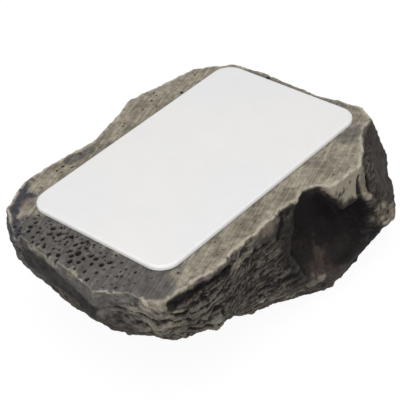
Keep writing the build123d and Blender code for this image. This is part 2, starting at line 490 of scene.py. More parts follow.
def dress(piece: bpy.types.Object, material: bpy.types.Material) -> None:
    """Give a piece one material all over.

    Args:
        piece: The piece, a carried-over node or a new one.
        material: Its finish.
    """
    piece.data.materials.clear()
    piece.data.materials.append(material)


def new_piece(name: str, data: bpy.types.ID) -> bpy.types.Object:
    """Put a mesh, a lamp or a camera in the scene as an object at the origin.

    Args:
        name: The object's name.
        data: What it shows.

    Returns:
        The object.
    """
    piece = bpy.data.objects.new(name, data)
    bpy.context.scene.collection.objects.link(piece)
    return piece


# ---- finishes ------------------------------------------------------------------------------


@dataclass(frozen=True)
class PaintedStone:
    """Cast resin painted as weathered stone: a dark coat, a khaki face, stains, dry-brushed crests,
    and painted shade in its hollows and painted highlights on its crests and rim.

    Sizes and the depths of bumps are in millimetres, and angles in degrees.
    """

    khaki: Colour = srgb(149, 142, 127)
    dun: Colour = srgb(120, 113, 100)
    coal: Colour = srgb(56, 51, 49)
    olive: Colour = srgb(80, 75, 66)
    # light paint for the rim and the crests: rubbed and dry-brushed paint, and painted highlights
    bone: Colour = srgb(190, 181, 164)
    crest: Colour = srgb(158, 151, 138)
    # the colour of the shade painted into the hollows and holes
    painted_shade: Colour = srgb(24, 21, 21)
    stains_and_shade: tuple[tuple[Paint, Colour], ...] = (
        (Paint.UMBER, srgb(84, 70, 62)),
        (Paint.CHARCOAL, srgb(95, 91, 88)),
        (Paint.SLATE, srgb(62, 62, 68)),
        (Paint.KHAKI, srgb(150, 142, 126)),
        (Paint.ROSE, srgb(130, 112, 104)),
        # painted shade in the recesses, with a dark wash over the +X end
        (Paint.SHADE_AND_DARK_WASH, srgb(20, 17, 18)),
    )
    blotch_size: float = 6.0
    fleck_size: float = 1.3
    speck_size: float = 0.35
    vein_size: float = 1.6
    vein_squeeze: Place = (0.5, 0.75, 1.7)
    vein_middle: float = 0.52
    vein_depth: float = 0.5
    grit_depth: float = 0.2
    saw_turn: float = -18.0
    saw_squeeze: Place = (0.12, 1.9, 0.3)
    saw_depth: float = 0.12
    pinhole_gap: float = 1.5
    pinhole_depth: float = 0.2
    gloss: float = 0.12

    def material(self) -> bpy.types.Material:
        """Build the stone's material from the marks left on its mesh.

        Returns:
            The material.
        """
        graph = Graph("painted_stone")
        where = graph.places()
        level = graph.mapped(where, self.vein_squeeze)
        blotch = graph.noise(where, self.blotch_size, 4.0, 0.6)
        fleck = graph.noise(where, self.fleck_size, 6.0, 0.72)
        speck = graph.noise(where, self.speck_size, 3.0, 0.65)
        vein = graph.noise(level, self.vein_size, 5.0, 0.7)
        sawn = graph.attribute("sawn")
        bare = graph.times(graph.math("SUBTRACT", 1.0, sawn), graph.attribute("broken"))
        lines = self._saw_lines(graph, where)
        colour = self._coats(graph, blotch, fleck, sawn)
        grit = graph.ramp(fleck, 0.3, 0.7)
        colour = graph.tone(colour, sawn, graph.scaled(grit, 0.6, 0.68))
        scored = graph.ramp(lines, 0.35, 0.65)
        colour = graph.tone(colour, sawn, graph.scaled(scored, 0.44, 0.8))
        # streaks along the beds, darkened in the furrows of the same bump as painted shade
        furrow = graph.ramp(vein, 0.3, 0.7)
        colour = graph.tone(colour, bare, graph.scaled(furrow, 1.35, 0.33))
        pinhole = self._pinholes(graph, where, blotch, sawn)
        # painted shade in the small holes
        colour = graph.mix(graph.times(pinhole, 0.8), colour, self.painted_shade)
        off_middle = graph.math("ABSOLUTE", graph.math("SUBTRACT", vein, self.vein_middle))
        ridge = graph.times(graph.ramp(off_middle, 0.05, 0.0), bare)
        colour = self._shades_and_highlights(graph, colour, fleck, ridge)
        rough = graph.math("ADD", graph.times(vein, bare), graph.times(ridge, 0.25))
        normal = graph.bump(rough, self.vein_depth)
        normal = graph.bump(graph.scaled(speck, 0.4, fleck), self.grit_depth, normal)
        normal = graph.bump(graph.times(lines, sawn), self.saw_depth, normal)
        normal = graph.bump(graph.times(pinhole, -1.0), self.pinhole_depth, normal)
        roughness = graph.scaled(speck, 0.3, 0.5)
        return graph.shade(
            Base_Color=colour, Roughness=roughness, Normal=normal, Specular_IOR_Level=self.gloss
        )

    def _frayed(self, graph: Graph, value: Socket, fleck: Socket, by: float) -> Socket:
        """A value made uneven by the flecks, for a ragged edge."""
        return graph.scaled(graph.math("SUBTRACT", fleck, 0.5), by, value)

    def _coats(self, graph: Graph, blotch: Socket, fleck: Socket, sawn: Socket) -> Socket:
        """Lay the dark coat, the khaki face, and the stains and painted shade over them.

        Args:
            graph: The material's nodes.
            blotch: The noise of the coats.
            fleck: The noise of their edges.
            sawn: Where the flat face is.

        Returns:
            The colour.
        """
        face = graph.mix(graph.ramp(blotch, 0.42, 0.66), self.khaki, self.dun)
        flank = graph.mix(graph.ramp(blotch, 0.48, 0.72), self.coal, self.olive)
        edge = self._frayed(graph, sawn, fleck, 0.8)
        colour = graph.mix(graph.ramp(edge, 0.25, 0.6), flank, face)
        for paint, tint in self.stains_and_shade:
            amount = graph.attribute(paint.value)
            ragged = self._frayed(graph, amount, fleck, 1.5)
            colour = graph.mix(graph.times(graph.ramp(ragged, 0.1, 0.6), amount), colour, tint)
        return colour

    def _pinholes(self, graph: Graph, where: Socket, blotch: Socket, sawn: Socket) -> Socket:
        """Scatter small holes over parts of the flat face.

        Args:
            graph: The material's nodes.
            where: The surface point.
            blotch: The noise that says which parts.
            sawn: Where the flat face is.

        Returns:
            1 in the holes, 0 elsewhere.
        """
        inputs = {"Vector": where, "Scale": 1 / self.pinhole_gap}
        nearest = graph.node("TexVoronoi", inputs).outputs["Distance"]
        holes = graph.times(graph.ramp(nearest, 0.17, 0.09), graph.ramp(blotch, 0.5, 0.62))
        return graph.times(holes, sawn)

    def _shades_and_highlights(self, graph: Graph, colour: Socket, fleck: Socket, ridge: Socket) -> Socket:
        """Paint shade into hollows; light the crests and rubbed rim with paint and painted
        highlights.

        Args:
            graph: The material's nodes.
            colour: The colour so far.
            fleck: The noise that breaks up the light strokes.
            ridge: Fine crests that the mesh doesn't have.

        Returns:
            The colour.
        """
        relief = self._frayed(graph, graph.attribute("relief"), fleck, 1.2)
        # painted shade in the hollows, taken from the mesh's relief
        hollow = graph.times(graph.ramp(relief, -0.1, -0.8), 0.85)
        colour = graph.mix(hollow, colour, self.painted_shade)
        # light on the crests: dry-brushed paint and a painted highlight, also on fine crests the
        # mesh lacks
        crest = graph.times(graph.ramp(relief, 0.15, 0.8), graph.attribute("brush_and_highlight"))
        fine = graph.times(ridge, graph.ramp(relief, -0.3, 0.4))
        crest = graph.math("MAXIMUM", crest, fine)
        unshaded = graph.math("SUBTRACT", 1.0, graph.attribute(Paint.SHADE_AND_DARK_WASH.value))
        unshaded = graph.times(unshaded, graph.attribute("broken"))
        colour = graph.mix(graph.times(crest, graph.times(unshaded, 0.6)), colour, self.crest)
        # the light rim: paint rubbed through to bone, and a painted highlight along the face's edge
        rim_wear_and_highlight = graph.times(graph.ramp(relief, -0.4, 0.1), graph.attribute("rim_wear_and_highlight"))
        return graph.mix(graph.times(rim_wear_and_highlight, graph.ramp(fleck, 0.35, 0.5)), colour, self.bone)

    def _saw_lines(self, graph: Graph, where: Socket) -> Socket:
        """The lines that a saw would leave along the flat face, a little askew of the cover."""
        turned = graph.mapped(where, turn=self.saw_turn)
        return graph.noise(graph.mapped(turned, self.saw_squeeze), 1.0, 3.0, 0.6)


@dataclass(frozen=True)
class MouldedPlastic:
    """Injection-moulded plastic with a fine grain. Sizes and depths are in millimetres."""

    name: str
    colour: Colour
    warm: Colour
    roughness: float = 0.42
    sink_at: Pair | None = None
    sink_radius: float = 2.5
    sink_depth: float = 0.05
    drift_size: float = 30.0
    mottle_size: float = 3.5
    grain_size: float = 0.16
    grain_depth: float = 0.012
    wave_size: float = 9.0
    wave_depth: float = 0.05

    def material(self) -> bpy.types.Material:
        """Build the plastic's material.

        Returns:
            The material.
        """
        graph = Graph(self.name)
        where = graph.places()
        drift = graph.noise(where, self.drift_size, 1.0, 0.5)
        mottle = graph.noise(where, self.mottle_size, 3.0, 0.6)
        colour = graph.mix(graph.ramp(drift, 0.35, 0.65), self.colour, self.warm)
        colour = graph.tone(colour, 1.0, graph.scaled(mottle, 0.05, 0.975))
        normal = graph.bump(graph.noise(where, self.grain_size, 2.0, 0.6), self.grain_depth)
        wave = graph.noise(where, self.wave_size, 2.0, 0.5)
        normal = graph.bump(wave, self.wave_depth, normal)
        if self.sink_at is not None:
            normal = graph.bump(self._sink(graph, where), self.sink_depth, normal)
        roughness = graph.scaled(mottle, 0.12, self.roughness)
        return graph.shade(Base_Color=colour, Roughness=roughness, Normal=normal)

    def _sink(self, graph: Graph, where: Socket) -> Socket:
        """Press a shallow dish where the plastic shrank over the boss.

        Args:
            graph: The material's nodes.
            where: The surface point.

        Returns:
            0 in the dish, 1 around it.
        """
        plan = {0: where, 1: (1.0, 1.0, 0.0)}
        level = graph.node("VectorMath", plan, operation="MULTIPLY").outputs[0]
        ends = {0: level, 1: (*self.sink_at, 0.0)}
        distance = graph.node("VectorMath", ends, operation="DISTANCE").outputs["Value"]
        return graph.ramp(distance, self.sink_radius * 0.7, self.sink_radius * 1.1)


@dataclass(frozen=True)
class PlatedSteel:
    """Bright or zinc-plated steel with fine scratches. Sizes and depths are in millimetres."""

    name: str
    colour: Colour
    roughness: float
    tarnish: Colour = srgb(120, 122, 126)
    cloud_size: float = 1.2
    scratch_squeeze: Place = (1.0, 14.0, 1.0)
    scratch_depth: float = 0.004

    def material(self) -> bpy.types.Material:
        """Build the steel's material.

        Returns:
            The material.
        """
        graph = Graph(self.name)
        where = graph.places()
        scratches = graph.noise(graph.mapped(where, self.scratch_squeeze), 1.0)
        cloud = graph.noise(where, self.cloud_size)
        roughness = graph.scaled(cloud, 0.18, self.roughness)
        colour = graph.mix(graph.ramp(cloud, 0.4, 0.7), self.colour, self.tarnish)
        normal = graph.bump(scratches, self.scratch_depth)
        return graph.shade(Base_Color=colour, Metallic=1.0, Roughness=roughness, Normal=normal)


@dataclass(frozen=True)
class CuredGlue:
    """Epoxy squeezed out and set. Sizes and depths are in millimetres."""

    colour: Colour = srgb(186, 176, 146)
    thick: Colour = srgb(160, 146, 112)
    cloud_size: float = 2.0
    cloud_depth: float = 0.08

    def material(self) -> bpy.types.Material:
        """Build the glue's material.

        Returns:
            The material.
        """
        graph = Graph("cured_glue")
        cloud = graph.noise(graph.places(), self.cloud_size, 3.0)
        colour = graph.mix(graph.ramp(cloud, 0.35, 0.7), self.colour, self.thick)
        roughness = graph.scaled(cloud, 0.3, 0.25)
        normal = graph.bump(cloud, self.cloud_depth)
        return graph.shade(Base_Color=colour, Roughness=roughness, Normal=normal)


# ---- the cast stone ------------------------------------------------------------------------


@dataclass(frozen=True)
class Trace:
    """A mark along a line of places on the rock, as wide as given on either side of it."""

    width: float
    strength: float
    line: tuple[Place, ...]
    core: float

    def share(self, places: Array, ragged: Array | float = 1.0) -> Array:
        """How much of the mark each point has.

        Args:
            places: The points, an array of N by 3.
            ragged: What each point's distance is multiplied by, for a rough edge.

        Returns:
            The strength within the core of the width, easing to 0 at the width.
        """
        ends = [np.array(place, float) for place in self.line]
        nearest = np.full(len(places), 99.0)
        for start, end in zip(ends, ends[1:] or ends):
            run = end - start
            along = np.clip((places - start) @ run / max(run @ run, 1e-9), 0, 1)
            away = np.linalg.norm(places - start - along[:, None] * run, axis=1)
            nearest = np.minimum(nearest, away)
        return self.strength * (1 - smoothstep(nearest * ragged / self.width, self.core, 1.0))


def marks(*rows: tuple[float | Place, ...], core: float = 0.25) -> tuple[Trace, ...]:
    """Turn rows into traces.

    Args:
        rows: Each has a width, a strength and then the places of its line.
        core: How much of the width has the full strength.

    Returns:
        The traces.
    """
    return tuple(Trace(width, strength, tuple(line), core) for width, strength, *line in rows)


def washes(*rows: tuple[float | Place, ...]) -> tuple[Trace, ...]:
    """Turn rows into traces with a full middle, for paint."""
    return marks(*rows, core=0.6)


@dataclass(frozen=True)
class Pit:
    """A pore in the flat face: a slot with round ends, in millimetres."""

    x: float
    y: float
    radius: float
    stretch: float
    turn: float
    deep: float


@dataclass
class RockCasting:
    """The cast stone, carved out of the solid that stands for it.

    Sizes are in millimetres and angles in degrees.
    """

    drawing: Drawing
    carving: tuple[Trace, ...] = ()
    calm: tuple[Trace, ...] = ()
    stains_and_shade: dict[Paint, tuple[Trace, ...]] = field(default_factory=dict)
    lone_pits: tuple[Place, ...] = ()
    pores: list[Pit] = field(default_factory=list)

    voxel: float = 0.4
    sharp_angle: float = 62.0
    face_band: float = 0.32
    pit_band: float = 1.2

    # the rebate and the pocket that take the tray
    flange_half: Pair = (30.85, 17.85)
    rebate_depth: float = 1.5
    rebate_corner: float = 4.35
    pocket_half: Pair = (29.2, 16.2)
    pocket_floor: float = 13.6
    pocket_draft: float = 1.5
    pocket_corners: Pair = (3.5, 3.2)

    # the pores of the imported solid, and the pits scattered beside them
    pore_rows: int = 13
    pore_columns: int = 4
    pore_start: Pair = (-34.6, -14.2)
    pore_pitch: Pair = (1.9, 2.35)
    pore_sway: float = 0.55
    pore_radius: float = 0.46
    pore_swell: float = 0.16
    porous_end: tuple[Pair, ...] = ((-44.0, -21.0), (-32.6, 18.0))
    porous_band: float = 0.6
    small_pits: int = 110
    side_pits: int = 40

    # the broken stone, its chipped rim and its beds
    lumps: Layer = Layer(Seed.LUMPS, 0.3, 5.5, 2)
    crests: Layer = Layer(Seed.CRESTS, 0.34, 2.4, 4, (0.45, 0.7, 1.4), ridged=True)
    grit: Layer = Layer(Seed.GRIT, 0.2, 1.0, 2, (0.6, 0.8, 1.3), ridged=True)
    hole_gap: float = 2.2
    hole_depth: float = 0.4
    chip_depth: float = 0.28
    bed_height: float = 1.5
    bed_relief: float = 0.6
    bed_dip: float = 0.1
    bed_drift: Layer = Layer(Seed.BED_DRIFT, 1.1, 7.0, 3)
    sag: float = 5.5
    sag_at: float = -27.0
    sag_width: float = 9.5

    def build(self) -> bpy.types.Object:
        """Carve the stone and leave the marks that its paint follows.

        Returns:
            The stone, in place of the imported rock_casting.
        """
        mesh = self._remeshed(self._closed_shell())
        self._carve(mesh)
        self._refine(mesh)
        self._pierce(mesh)
        stone = new_piece("carved_stone", mesh)
        self._cut_pocket(stone)
        self._grade(stone.data)
        stone.data.shade_smooth()
        stone.data.set_sharp_from_angle(angle=math.radians(self.sharp_angle))
        dress(stone, PaintedStone().material())
        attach(stone, "rock")
        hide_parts("rock_casting")
        LOG.info("carved stone: %d faces", len(stone.data.polygons))
        return stone

    def _closed_shell(self) -> bpy.types.Mesh:
        """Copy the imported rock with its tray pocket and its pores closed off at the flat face.

        Returns:
            The closed mesh.
        """
        mesh = bpy.data.objects["rock_casting"].data.copy()
        shell = bmesh.new()
        shell.from_mesh(mesh)
        bmesh.ops.remove_doubles(shell, verts=shell.verts, dist=0.002 * MM)
        places = self.drawing.to_place(np.array([vert.co for vert in shell.verts]))
        in_plan = np.all(np.abs(places[:, :2]) < np.array(self.flange_half) + 0.2, axis=1)
        inside = in_plan & (places[:, 2] > 0.05) & (places[:, 2] < self.pocket_floor + 0.1)
        shell.verts.ensure_lookup_table()
        for x, y, radius in self._cast_pores():
            near = np.hypot(places[:, 0] - x, places[:, 1] - y) < radius + 0.05
            for index in np.flatnonzero(near & (places[:, 2] < self.pit_band)):
                shell.verts[index].co.z = self.drawing.centre.z
        gone = [shell.verts[index] for index in np.flatnonzero(inside)]
        bmesh.ops.delete(shell, geom=gone, context="VERTS")
        bmesh.ops.holes_fill(shell, edges=[edge for edge in shell.edges if edge.is_boundary])
        bmesh.ops.triangulate(shell, faces=[face for face in shell.faces if len(face.verts) > 4])
        bmesh.ops.recalc_face_normals(shell, faces=shell.faces)
        shell.to_mesh(mesh)
        shell.free()
        return mesh

    def _cast_pores(self) -> list[Place]:
        """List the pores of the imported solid, by its own rule.

        Returns:
            The x, y and radius of each.
        """
        pores = []
        for row in range(self.pore_rows):
            for column in range(self.pore_columns):
                turn = 2.4 * row + 1.7 * column
                along = self.pore_pitch[0] * (column + 0.5 * (row % 2))
                x = self.pore_start[0] - along + self.pore_sway * math.sin(3 * turn)
                y = self.pore_start[1] + self.pore_pitch[1] * row
                y += self.pore_sway * math.sin(5 * turn + 1)
                pores.append((x, y, self.pore_radius + self.pore_swell * math.sin(7 * turn)))
        return pores

    def _remeshed(self, mesh: bpy.types.Mesh) -> bpy.types.Mesh:
        """Give the shell even, fine faces.

        Args:
            mesh: The closed shell.

        Returns:
            The new mesh.
        """
        draft = new_piece("stone_draft", mesh)
        remesh = draft.modifiers.new("even", "REMESH")
        remesh.mode = "VOXEL"
        remesh.voxel_size = self.voxel * MM
        result = self._evaluated(draft)
        bpy.data.objects.remove(draft)
        return result

    def _evaluated(self, piece: bpy.types.Object) -> bpy.types.Mesh:
        """The mesh of a piece with its modifiers applied."""
        shown = piece.evaluated_get(bpy.context.evaluated_depsgraph_get())
        return bpy.data.meshes.new_from_object(shown)

    def _carve(self, mesh: bpy.types.Mesh) -> None:
        """Shape the flanks as broken stone and level the flat face.

        Args:
            mesh: The even mesh, which is changed.
        """
        skin = Skin(mesh)
        places = self.drawing.to_place(skin.points)
        normals = skin.normals() * UPTURN
        face = (places[:, 2] < self.face_band) & (normals[:, 2] < -0.75)
        flank = np.where(face, 0.0, 1.0 - skin.spread(face.astype(float), 3))
        below = smoothstep(places[:, 2], 0.0, 1.6)
        evened = flank * smoothstep(places[:, 2], 0.5, 2.2)
        places += (skin.spread(places, 5) - places) * evened[:, None]
        outward = skin.spread(normals, 6)
        places = self._wander(places)
        for trace in self.carving:
            places += outward * (trace.share(places) * flank)[:, None]
        places += outward * (self._crags(places) * flank * below)[:, None]
        places += self._strata(places, outward) * (flank * below)[:, None]
        chips = self._chips(places, skin.spread(face.astype(float), 10))
        places[:, 2] = np.where(face, chips, places[:, 2] + chips * (1 - flank))
        floor = self.drawing.centre.z / MM
        places[:, 2] = np.minimum(places[:, 2], floor)
        skin.points = self.drawing.to_model(places)
        skin.store()

    def _wander(self, places: Array) -> Array:
        """Make the outline less regular, but leave the face under the cover as it is.

        Args:
            places: The points.

        Returns:
            The points moved.
        """
        outside = (np.abs(places[:, :2]) - np.array(self.flange_half)).max(axis=1)
        free = np.maximum(smoothstep(outside, 0.8, 3.0), smoothstep(places[:, 2], 1.0, 4.0))
        broken = self._broken(places)
        moved = places.copy()
        for axis, seed in enumerate((Seed.SWAY_X, Seed.SWAY_Y)):
            sway = Layer(seed, 0.3, 5.0, 3).at(places) + Layer(seed, 0.16, 1.6, 2).at(places)
            moved[:, axis] += sway * free * (0.3 + 0.7 * broken)
        return moved

    def _crags(self, places: Array) -> Array:
        """Raise the broken stone.

        Args:
            places: The points.

        Returns:
            How far each point stands out, in millimetres.
        """
        broken = self._broken(places)
        distance, value = Grain(Seed.HOLES).cells(places, self.hole_gap)
        porous = smoothstep(Grain(Seed.PATCHES).smooth(places / 11), 0.0, 0.5)
        hollow = smoothstep(0.85 - distance, 0.0, 0.5)
        holes = -self.hole_depth * (value > 0.55) * hollow * porous * (broken > 0.9)
        rough = self.crests.at(places) + self.grit.at(places) + holes
        return self.lumps.at(places) + rough * broken

    def _broken(self, places: Array) -> Array:
        """Tell how broken the stone is.

        Args:
            places: The points.

        Returns:
            1 on the crags, near 0 where it is smooth.
        """
        broken = np.ones(len(places))
        for trace in self.calm:
            broken *= 1 - trace.share(places)
        return broken

    def _strata(self, places: Array, outward: Array) -> Array:
        """Let the beds of the stone stand out sideways.

        Args:
            places: The points.
            outward: The direction away from the stone at each.

        Returns:
            How far each point moves, as vectors in millimetres.
        """
        x, y, depth = places.T
        trough = self.sag * np.exp(-(((x - self.sag_at) / self.sag_width) ** 2))
        trough = trough * smoothstep(-y, 18, 25)
        level = depth - trough + self.bed_dip * x + self.bed_drift.at(places)
        uneven = 0.3 * Grain(Seed.BED_THICKNESS).smooth(places / np.array([9.0, 9.0, 2.0]))
        bed = level / self.bed_height + uneven
        part = bed - np.floor(bed)
        step = smoothstep(part, 0.0, 0.7) * (1 - smoothstep(part, 0.84, 1.0)) - 0.5
        edge = np.stack([x / 5, y / 5, np.floor(bed)], axis=1)
        sharp = 0.5 + 0.5 * Grain(Seed.BED_EDGE).smooth(edge)
        corner = smoothstep(-y, 9, 19) * smoothstep(-x, 12, 22)
        flow = smoothstep(-y, 19, 24) * smoothstep(8 - x, 4, 12)
        elsewhere = 0.3 * smoothstep(Grain(Seed.PATCHES).smooth(places / 16), 0.0, 0.5)
        zone = np.maximum(np.maximum(corner, 0.3 * flow), elsewhere) * self._broken(places)
        height = self.bed_relief * step * (0.3 + sharp) * zone
        return outward * np.array([1, 1, 0.15]) * height[:, None]

    def _chips(self, places: Array, near_rim: Array) -> Array:
        """How far the rim is chipped away downwards, where near_rim falls below 1."""
        nick = smoothstep(Layer(Seed.CHIPS, 1.0, 1.7, 3).at(places), 0.0, 0.7)
        return self.chip_depth * nick * smoothstep(near_rim, 0.98, 0.6)

    def _refine(self, mesh: bpy.types.Mesh) -> None:
        """Split the faces of the porous end once, so that they can hold its pits.

        Args:
            mesh: The carved mesh, which is changed.
        """
        shell = bmesh.new()
        shell.from_mesh(mesh)
        low, high = (self.drawing.point(*corner) for corner in self.porous_end)
        fine = []
        for edge in shell.edges:
            middle = (edge.verts[0].co + edge.verts[1].co) / 2
            level = middle.z > self.drawing.centre.z - self.porous_band * MM
            if level and low.x < middle.x < high.x and low.y < middle.y < high.y:
                fine.append(edge)
        bmesh.ops.subdivide_edges(shell, edges=fine, cuts=1, use_grid_fill=True)
        shell.to_mesh(mesh)
        shell.free()

    def _pierce(self, mesh: bpy.types.Mesh) -> None:
        """Press the pits into the flat face, leaving out those that fall beside it.

        Args:
            mesh: The refined mesh, which is changed.
        """
        skin = Skin(mesh)
        places = self.drawing.to_place(skin.points)
        face = places[(places[:, 2] < 0.2) & (skin.normals()[:, 2] > 0.9)]
        for pit in self._pit_list():
            reach = np.hypot(face[:, 0] - pit.x, face[:, 1] - pit.y) < 0.6
            if reach.sum() > 5:
                self.pores.append(pit)
        level = 1 - smoothstep(places[:, 2], 0.3, 0.7)
        places[:, 2] += self._pits(places) * level
        skin.points = self.drawing.to_model(places)
        skin.store()

    def _pits(self, places: Array, swell: float = 1.0) -> Array:
        """How deep the pores in the flat face are.

        Args:
            places: The points, an array of N by 3.
            swell: How much wider than cut they count.

        Returns:
            Each point's depth, in millimetres.
        """
        deep = np.zeros(len(places))
        for pit in self.pores:
            offset = places[:, :2] - np.array([pit.x, pit.y])
            near = np.flatnonzero((np.abs(offset) < 2).all(axis=1))
            across = offset[near]
            along = np.array([math.cos(pit.turn), math.sin(pit.turn)])
            run = across @ along / pit.stretch
            side = across @ np.array([-along[1], along[0]])
            distance = np.hypot(run, side) / (pit.radius * swell)
            deep[near] = np.maximum(deep[near], pit.deep * (1 - smoothstep(distance, 0.45, 1.1)))
        return deep

    def _pit_list(self) -> list[Pit]:
        """Scatter pores over the charcoal end of the face and, thinly, along its sides.

        Returns:
            The pores: lone ones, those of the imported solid, small ones and the sides'.
        """
        rng = np.random.default_rng(int(Seed.SCATTER))
        pits = [Pit(x, y, size, 1.2, 0.3, size) for x, y, size in self.lone_pits]
        for x, y, _ in self._cast_pores():
            size = rng.uniform(0.36, 0.72) * (0.55 if y < -9 else 1.0)
            pits.append(Pit(x, y, size, rng.uniform(1.0, 1.5), rng.uniform(-0.5, 0.9), size))
        for _ in range(self.small_pits):
            x, y = -33.0 - abs(rng.normal(0, 1)) * 3.4, rng.normal(3, 7)
            size = rng.uniform(0.18, 0.4)
            pits.append(Pit(x, y, size, rng.uniform(1.0, 1.7), rng.uniform(-0.5, 0.9), size * 1.1))
        for _ in range(self.side_pits):
            x = rng.uniform(-30, 31)
            y = rng.uniform(20.3, 28) if rng.random() < 0.6 else rng.uniform(-27, -20.2)
            size = rng.uniform(0.14, 0.26)
            pits.append(Pit(x, y, size, rng.uniform(1.0, 1.8), rng.uniform(-0.6, 0.9), size))
        return pits

    def _cut_pocket(self, stone: bpy.types.Object) -> None:
        """Cut the rebate and the pocket that take the tray.

        Args:
            stone: The carved stone, which gets a new mesh.
        """
        cutter = new_piece("pocket_cutter", self._pocket_mesh())
        cut = stone.modifiers.new("pocket", "BOOLEAN")
        cut.operation = "DIFFERENCE"
        cut.solver = "MANIFOLD"
        cut.object = cutter
        mesh = self._evaluated(stone)
        stone.modifiers.clear()
        stone.data = mesh
        bpy.data.objects.remove(cutter)

    def _pocket_mesh(self) -> bpy.types.Mesh:
        """Build a closed, stepped block with rounded corners: rebate above, pocket below.

        Returns:
            The block's mesh.
        """
        draft = math.tan(math.radians(self.pocket_draft))
        rebate = (self.flange_half, self.rebate_corner)
        levels = [(-1.0, *rebate), (self.rebate_depth, *rebate)]
        for depth, corner in zip((self.rebate_depth, self.pocket_floor), self.pocket_corners):
            half = (self.pocket_half[0] - depth * draft, self.pocket_half[1] - depth * draft)
            levels.append((depth, half, corner))
        block = bmesh.new()
        rings = []
        for depth, half, corner in levels:
            outline = rounded_outline(half, corner)
            rings.append([block.verts.new(self.drawing.point(x, y, depth)) for x, y in outline])
        for upper, lower in zip(rings, rings[1:]):
            for index in range(len(upper)):
                after = (index + 1) % len(upper)
                block.faces.new((upper[index], lower[index], lower[after], upper[after]))
        block.faces.new(rings[0])
        block.faces.new(rings[-1][::-1])
        bmesh.ops.recalc_face_normals(block, faces=block.faces)
        mesh = bpy.data.meshes.new("pocket_block")
        block.to_mesh(mesh)
        block.free()
        return mesh

    def _grade(self, mesh: bpy.types.Mesh) -> None:
        """Leave the marks that the paint follows: crests, hollows, the rim, stains, painted shade
        and highlights.

        Args:
            mesh: The finished mesh, which gets an attribute for each.
        """
        skin = Skin(mesh)
        places = self.drawing.to_place(skin.points)
        normals = skin.normals() * UPTURN
        close = ((places - skin.spread(places, 5)) * normals).sum(axis=1) / 0.12
        wide = ((places - skin.spread(places, 45)) * normals).sum(axis=1) / 0.6
        skin.attribute("relief", np.clip(0.6 * close + 0.5 * wide, -1.5, 1.5))
        near_face = places[:, 2] < self.pit_band
        pits = self._pits(places) * near_face
        holed = (self._pits(places, 1.5) > 0.01) & near_face
        level = (normals[:, 2] < -0.9) & (places[:, 2] < self.face_band)
        flat = (level | holed).astype(float)
        skin.attribute("sawn", skin.spread(flat, 3))
        skin.attribute("broken", self._broken(places))
        amounts = self._stained(places)
        painted_shade, charred = amounts[Paint.SHADE_AND_DARK_WASH], amounts[Paint.CHARCOAL]
        # painted shade: the recesses' wash off the flat face, and the face's pits by their depth
        recess_shade = np.maximum(painted_shade * (1 - flat), 0.85 * smoothstep(pits, 0.05, 0.35))
        for paint, amount in {**amounts, Paint.SHADE_AND_DARK_WASH: recess_shade}.items():
            skin.attribute(paint.value, np.clip(amount, 0, 1))
        # the rim's light band: rubbed paint and a painted highlight along the face's edge
        patchy = smoothstep(Layer(Seed.WEAR_AND_HIGHLIGHT, 1.0, 3.0, 3).at(places), -0.35, 0.35)
        rim_wear_and_highlight = self._beside(skin, flat, 4, 4) * (0.55 + 0.45 * patchy)
        rim_wear_and_highlight = rim_wear_and_highlight * (1 - 0.8 * amounts[Paint.SLATE])
        dots = smoothstep(Layer(Seed.RIM_DOTS, 1.0, 1.3, 2).at(places), -0.3, 0.3)
        dotted = np.maximum(0.25 + 0.75 * dots, 1 - 1.2 * charred)
        line = self._beside(skin, flat, 2, 6) * ~holed * (1 - painted_shade) * dotted
        rim_wear_and_highlight = np.maximum(rim_wear_and_highlight * (1 - 0.6 * charred), line * (1 - 0.3 * charred))
        skin.attribute("rim_wear_and_highlight", rim_wear_and_highlight)
        # where the crests get light paint: dry-brushed colour and painted highlight, kept off holes
        # and shade
        strokes = np.clip(0.5 + Layer(Seed.BRUSH, 0.5, 7.0, 2).at(places), 0, 1)
        skin.attribute("brush_and_highlight", strokes * ~holed * (1 - painted_shade))

    def _beside(self, skin: Skin, flat: Array, times: int, gain: float) -> Array:
        """How near the face's edge each point is: a band that widens with the times spread."""
        beside = skin.spread(flat, times)
        return np.clip(gain * beside * (1 - beside), 0, 1)

    def _stained(self, places: Array) -> dict[Paint, Array]:
        """Lay the stains and the painted shade, with ragged edges.

        Args:
            places: The points.

        Returns:
            How much of each paint every point has.
        """
        coarse = Layer(Seed.COARSE_EDGE, 0.3, 3.5, 3).at(places)
        ragged = 1 + coarse + Layer(Seed.FINE_EDGE, 0.22, 1.1, 2).at(places)
        amounts = {}
        for paint in Paint:
            amounts[paint] = np.zeros(len(places))
            for trace in self.stains_and_shade.get(paint, ()):
                amounts[paint] = np.maximum(amounts[paint], trace.share(places, ragged))
        return amounts


def rounded_outline(half: Pair, corner: float, steps: int = 8) -> list[Pair]:
    """The corners of a rounded rectangle about the origin.

    Args:
        half: Half its length and half its width.
        corner: Its corner radius.
        steps: How many points each quarter turn has.

    Returns:
        The points in order, anticlockwise.
    """
    points = []
    for quarter, (side_x, side_y) in enumerate(((1, 1), (-1, 1), (-1, -1), (1, -1))):
        for step in range(steps + 1):
            angle = math.pi / 2 * (quarter + step / steps)
            x = side_x * (half[0] - corner) + corner * math.cos(angle)
            y = side_y * (half[1] - corner) + corner * math.sin(angle)
            points.append((x, y))
    return points


